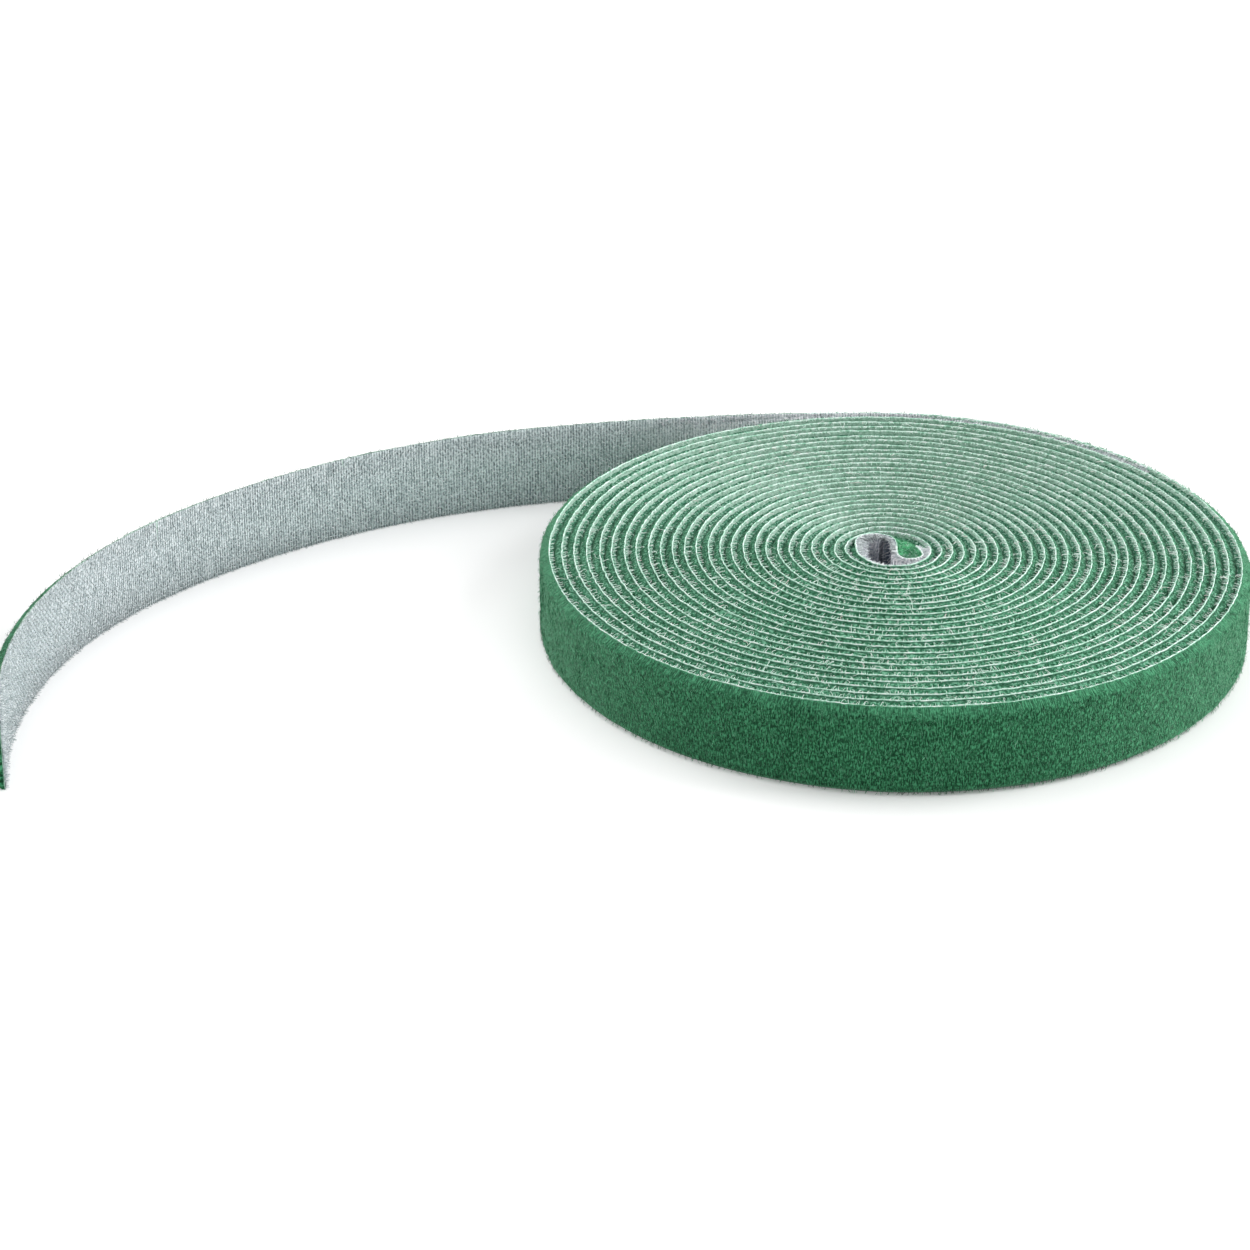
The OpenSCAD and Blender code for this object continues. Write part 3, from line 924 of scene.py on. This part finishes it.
def add_piece(name, made, material, slot, *nodes, stretch=0):
    """An object from a shape, its tape map and perhaps its shades. On a stretch of the lead its placement is
    baked into its mesh; otherwise it is parented to the roll's body, or past the last joint to the last lead
    body."""
    piece = mesh_piece(name, made, look(material))
    if 1 <= stretch <= LEADS:
        carry(piece, stretch)
    else:
        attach(piece, BODIES[min(stretch, LEADS)])
    if nodes:
        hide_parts(*nodes)


def distance(name, between, default):
    """A length for the panel, its default in millimetres."""
    return bpy.props.FloatProperty(name=name, description="Distance between two " + between,
                                   default=default * MM, min=0.3 * MM, unit="LENGTH")


class TapeSizes(bpy.types.PropertyGroup):
    edge_hook_spacing: distance("Edge hook spacing", "cut hooks along an edge of the tape", 0.78)
    stray_hook_spacing: distance("Stray hook spacing", "hooks that have sprung out over the edge", 3.2)
    tuft_spacing: distance("Tuft spacing", "loops of pile along a pressed turn", 0.5)
    wall_tufts: bpy.props.FloatProperty(
        name="Pile loops", description="Loops of free pile on each square millimetre", default=2.2, min=0.1)
    hairs: bpy.props.IntProperty(
        name="Loose hairs", description="Loose hairs that lie over the cut edges", default=320, min=0)


def sizes():
    """The sizes set in the panel."""
    return bpy.context.scene.tape_sizes


LENS, FILM_WIDTH = 108.39, 36
CLIP_NEAR, CLIP_FAR = 0.01, 20
CAMERA_PLACE = (-0.056588, -0.727629, 0.355896)
CAMERA_DOWN = 26.01
# Size, power and place of each lamp; all of them face the origin
LAMPS = {
    "top_lamp": (1.0, 1.2, (-0.6, 0.4, 1.15)),
    "left_lamp": (0.8, 6.5, (-1.1, 0.75, 0.4)),
    "right_lamp": (0.8, 15.5, (1.16, 0.16, 0.68)),
}
FLOOR_HALF = 3.0
# Painted light: around this place the floor glows more to the camera, thinning the roll's shadow
PAINTED_LIGHT_PLACE = (-0.085, -0.055, 0)  # the middle of the paler patch of floor


class TAPE_OT_stage(bpy.types.Operator):
    """Adds the camera, the lamps and the floor"""
    bl_idname = "tape.stage"
    bl_label = "Stage"

    def execute(self, context):
        scene = context.scene
        camera = bpy.data.objects.new("camera", bpy.data.cameras.new("camera"))
        camera.data.lens, camera.data.sensor_width = LENS, FILM_WIDTH
        camera.data.clip_start, camera.data.clip_end = CLIP_NEAR, CLIP_FAR
        camera.location = CAMERA_PLACE
        camera.rotation_euler = (math.radians(90 - CAMERA_DOWN), 0, 0)
        scene.collection.objects.link(camera)
        scene.camera = camera
        scene.view_settings.view_transform = "Standard"
        for name, (size, energy, (x, y, z)) in LAMPS.items():
            lamp = bpy.data.objects.new(name, bpy.data.lights.new(name, "AREA"))
            lamp.data.size, lamp.data.energy = size, energy
            lamp.location = (x, y, z)
            lamp.rotation_euler = (math.atan2(math.hypot(x, y), z), 0, math.atan2(y, x) + math.pi / 2)
            scene.collection.objects.link(lamp)
        self.sky(scene)
        self.floor(scene)
        return {"FINISHED"}

    def sky(self, scene):
        """A world that lights the object softly, more from behind and a little more from the right, and
        shows white to the camera. Its strength is a straight line in the direction's X and Y."""
        scene.world = bpy.data.worlds.new("studio")
        n = Nodes(scene.world)
        path = n.add("ShaderNodeLightPath").outputs
        unlit = n.maths("MAXIMUM", path["Is Glossy Ray"], path["Is Transmission Ray"])
        seen = n.maths("MAXIMUM", path["Is Camera Ray"], unlit)
        facing = n.add("ShaderNodeTexCoord").outputs["Generated"]
        split = n.add("ShaderNodeSeparateXYZ", {0: facing}).outputs
        light = n.maths("MULTIPLY_ADD", split["X"], 0.07, n.maths("MULTIPLY_ADD", split["Y"], 0.34, 0.87))
        background = n.tree.nodes["Background"].inputs
        n.put(background["Color"], "ffffff")
        n.put(background["Strength"], n.maths("MAXIMUM", seen, light))

    def floor(self, scene):
        """A wide pale sheet of paper under the object. To the camera it glows a little, and more in front of
        the roll's left side: painted light that thins the roll's shadow there."""
        mesh = bpy.data.meshes.new("floor")
        corners = [(x * FLOOR_HALF, y * FLOOR_HALF, 0) for x, y in ((-1, -1), (1, -1), (1, 1), (-1, 1))]
        mesh.from_pydata(corners, [], [(0, 1, 2, 3)])
        floor = bpy.data.objects.new("floor", mesh)
        mesh.materials.append(bpy.data.materials.new("floor_paper"))
        n = Nodes(mesh.materials[0])
        paper = n.scaled(n.noise(60.0, 2.0), 0.0, 1.0, 0.88, 0.91)
        n.surface(Base_Color=paper, Roughness=0.9, Specular_IOR_Level=0.1, Emission_Color="ffffff")
        places = {0: n.add("ShaderNodeTexCoord").outputs["Object"], 1: PAINTED_LIGHT_PLACE}
        beside = n.add("ShaderNodeVectorMath", places, operation="DISTANCE").outputs["Value"]
        # Painted light: a camera-only glow, stronger near the place, that thins the roll's shadow
        painted_light = n.scaled(beside, 0.11, 0.03, 0.09, 0.3, kind="SMOOTHSTEP")
        camera_ray = n.add("ShaderNodeLightPath").outputs["Is Camera Ray"]
        n.surface(Emission_Strength=n.maths("MULTIPLY", camera_ray, painted_light))
        scene.collection.objects.link(floor)


class TAPE_OT_film(bpy.types.Operator):
    """Adds the bonding film of the roll, whose cut edge draws the winding"""
    bl_idname = "tape.film"
    bl_label = "Film of the roll"

    def execute(self, context):
        middle = (CORE_END + COIL_END) / 2
        for name, start, end, step, nodes in (
            ("core_film", CORE_START, CORE_END, 0.4, ["core_bond_film"]),
            ("coil_film_inner", CORE_END, middle, 0.5, ["coil_bond_film"]),
            ("coil_film_outer", middle, COIL_END, 0.5, []),
            ("outer_film", COIL_END, ROOT_END, 0.5, ["outer_turn_bond_film"]),
        ):
            add_piece(name, film_shape(start, end, step), "bonding_film", "bond_film", *nodes)
        return {"FINISHED"}


class TAPE_OT_pile(bpy.types.Operator):
    """Adds the pressed pile of the core and the coil, with its loose loops"""
    bl_idname = "tape.pile"
    bl_label = "Pile of the roll"

    def execute(self, context):
        spacing = sizes().tuft_spacing / MM
        pile = pile_band_shape(CORE_START, CORE_END, 0.35)
        add_piece("core_pile", pile, "pressed_pile", "loop_tape", "core_loop_tape")
        curl = band_tufts(CORE_START, STRIP_RUN + 12, 108, spacing * 0.12)
        turns = band_tufts(STRIP_RUN + 12, CORE_END, 109, spacing * 0.6)
        add_piece("core_pile_loops", together(curl, turns), "pile_loops", "loop_tape")
        for k, (start, end) in portions(CORE_END, PRESSED_END, 2):
            nodes = ["coil_loop_tape"] if k == 1 else []
            pile, tufts = pile_band_shape(start, end, 0.55), band_tufts(start, end, 100 + k, spacing)
            add_piece(f"coil_pile_{k}", pile, "pressed_pile", "loop_tape", *nodes)
            add_piece(f"coil_pile_loops_{k}", tufts, "pile_loops", "loop_tape")
        return {"FINISHED"}


class TAPE_OT_hooks(bpy.types.Operator):
    """Adds the hooks of the core and the coil: the mass behind the edge and the cut hooks in it"""
    bl_idname = "tape.hooks"
    bl_label = "Hooks of the roll"

    def execute(self, context):
        spacing = sizes().edge_hook_spacing / MM
        add_piece("core_hook_face", hook_face_shape(CORE_START, EYE_END), "core_ground_painted_light_shade", "hook_tape")
        hooks = hook_field(CORE_START + 0.3, EYE_END, 201, step=KNOT / 2)
        add_piece("core_hooks", hooks, "core_hooks", "hook_tape")
        mass = hook_ground_shape(EYE_END, CORE_END, 0.5)
        add_piece("core_hook_mass", mass, "hook_mass", "hook_tape", "core_hook_tape")
        for k, (start, end) in enumerate(((CORE_START, STRIP_RUN + 1), (EYE_RING_START, EYE_END)), 1):
            ring = hook_ground_shape(start, end, 0.35, lift=0.7, longer=1.45)
            add_piece(f"core_ring_{k}", ring, "core_ring", "hook_tape")
        bank = hook_ground_shape(*BANK, 0.35, lift=0.4, longer=2.4)
        add_piece("core_bank", bank, "core_bank", "hook_tape")
        rim = edge_hooks(CORE_START, EYE_END, 202, spacing * 0.09, deepest=1.2, thick=0.09, longer=1.3)
        rest = edge_hooks(EYE_END, CORE_END, 203, spacing * 0.7)
        lower = edge_hooks(*BANK, 204, spacing * 0.045, deepest=4.0, thick=0.08, longer=2.6)
        add_piece("core_edge_hooks", together(rim, lower, rest), "grey_hooks", "hook_tape")
        for k, (start, end) in portions(CORE_END, COIL_END, 2):
            nodes = ["coil_hook_tape"] if k == 1 else []
            mass, cut = hook_ground_shape(start, end, 1.1), edge_hooks(start, end, 210 + k, spacing)
            add_piece(f"coil_hook_mass_{k}", mass, "hook_mass", "hook_tape", *nodes)
            add_piece(f"coil_edge_hooks_{k}", cut, "cut_hooks", "hook_tape")
        low = edge_hooks(CORE_END, COIL_END, 221, spacing * 4, top=False)
        add_piece("coil_low_hooks", low, "cut_hooks", "hook_tape")
        stray = stray_hooks(CORE_END, SPIRAL_END - 20, 222, sizes().stray_hook_spacing / MM)
        add_piece("coil_stray_hooks", stray, "cut_hooks", "hook_tape")
        return {"FINISHED"}


class TAPE_OT_outer_turn(bpy.types.Operator):
    """Adds the outer turn: its free pile, which is the wall of the roll, and its hooks"""
    bl_idname = "tape.outer_turn"
    bl_label = "Outer turn"

    def execute(self, context):
        spacing = sizes().edge_hook_spacing / MM
        for k, (start, end) in portions(PRESSED_END, ROOT_END, 3):
            nodes = ["outer_turn_loop_tape"] if k == 1 else []
            tufts = wall_tufts(start, end, 300 + k, sizes().wall_tufts)
            add_piece(f"wall_pile_{k}", free_pile_shape(start, end), "green_pile", "loop_tape", *nodes)
            add_piece(f"wall_loops_{k}", tufts, "wall_loops", "loop_tape")
        mass = hook_ground_shape(COIL_END, LEAD_LEAVES, 1.1)
        add_piece("outer_hook_mass", mass, "hook_mass", "hook_tape", "outer_turn_hook_tape")
        cut = edge_hooks(COIL_END, LEAD_LEAVES, 311, spacing)
        add_piece("outer_edge_hooks", cut, "cut_hooks", "hook_tape")
        add_piece("root_hook_face", hook_face_shape(LEAD_LEAVES, ROOT_END), "root_ground_painted_light", "hook_tape")
        shows = LEAD_LEAVES - ROOT_SHOWS
        ring = hook_ground_shape(shows, ROOT_END, 0.35, lift=0.4, longer=1.25)
        add_piece("root_ring", ring, "root_ground_painted_light", "hook_tape")
        scattered = hook_field(shows - 10, LEAD_LEAVES, 312, low=15, thin_until=LEAD_LEAVES)
        fringe = edge_hooks(shows, ROOT_END, 315, spacing * 0.12, deepest=2.2, thick=0.08, longer=1.2)
        hooks = together(scattered, hook_field(LEAD_LEAVES, ROOT_END, 314), fringe)
        add_piece("root_hooks", hooks, "core_hooks", "hook_tape")
        add_piece("loose_hairs", stray_hairs(313, sizes().hairs), "cut_hooks", "bond_film")
        return {"FINISHED"}


class TAPE_OT_lead(bpy.types.Operator):
    """Adds the free lead in stretches, one around each bend, and its tail"""
    bl_idname = "tape.lead"
    bl_label = "Free lead"

    def execute(self, context):
        density = sizes().wall_tufts * 0.6
        for index, (start, end) in enumerate(STRETCHES + [(MIDDLES[-1], TAPE_END)], 1):
            part = "tail" if index > LEADS else f"lead_{index}"
            ground = "root_ground_painted_light" if index == 1 else "lead_ground_painted_shade"
            for layer, made, material, slot in (
                ("film", film_shape(start, end, 0.5), "lead_film_painted_shade", "bond_film"),
                ("pile", free_pile_shape(start, end), "lead_pile", "loop_tape"),
                ("hook_face", hook_face_shape(start, end), ground, "hook_tape"),
            ):
                nodes = [] if index > LEADS else [f"lead_{index}_{slot}"]
                add_piece(f"{part}_{layer}", made, material, slot, *nodes, stretch=index)
            tufts = wall_tufts(start, end, 400 + index, density)
            add_piece(f"{part}_pile_loops", tufts, "lead_loops_painted_shade", "loop_tape", stretch=index)
            fringe = edge_hooks(start, end, 440 + index, 0.5, top=False, deepest=0.35, thick=0.07)
            hooks = together(hook_field(start, end, 420 + index), fringe)
            add_piece(f"{part}_hooks", hooks, "grey_hooks", "hook_tape", stretch=index)
            if index == 1:
                fade = end - start
                ring = hook_ground_shape(start, end, 0.35, lift=0.4, longer=1.2, fade=fade)
                add_piece("lead_1_ring", ring, "root_ground_painted_light", "hook_tape", stretch=index)
                pale = edge_hooks(start, end, 450, 0.06, deepest=3.0, thick=0.08, longer=1.1, fade=fade)
                add_piece("lead_1_edge_hooks", pale, "core_hooks", "hook_tape", stretch=index)
        return {"FINISHED"}


class TAPE_PT_panel(bpy.types.Panel):
    """Sizes and steps of the tape roll"""
    bl_idname = "TAPE_PT_panel"
    bl_label = "Tape Roll"
    bl_space_type = "VIEW_3D"
    bl_region_type = "UI"
    bl_category = "Tape Roll"

    def draw(self, context):
        for name in TapeSizes.__annotations__:
            self.layout.prop(context.scene.tape_sizes, name)
        for operator in OPERATORS:
            self.layout.operator(operator.bl_idname)


OPERATORS = (TAPE_OT_stage, TAPE_OT_film, TAPE_OT_pile, TAPE_OT_hooks, TAPE_OT_outer_turn, TAPE_OT_lead)
CLASSES = (TapeSizes, *OPERATORS, TAPE_PT_panel)


def register():
    for cls in CLASSES:
        bpy.utils.register_class(cls)
    bpy.types.Scene.tape_sizes = bpy.props.PointerProperty(type=TapeSizes)


def unregister():
    del bpy.types.Scene.tape_sizes
    for cls in reversed(CLASSES):
        bpy.utils.unregister_class(cls)


def main():
    register()
    bpy.ops.tape.stage()
    bpy.ops.tape.film()
    bpy.ops.tape.pile()
    bpy.ops.tape.hooks()
    bpy.ops.tape.outer_turn()
    bpy.ops.tape.lead()


if __name__ == "__main__":
    main()
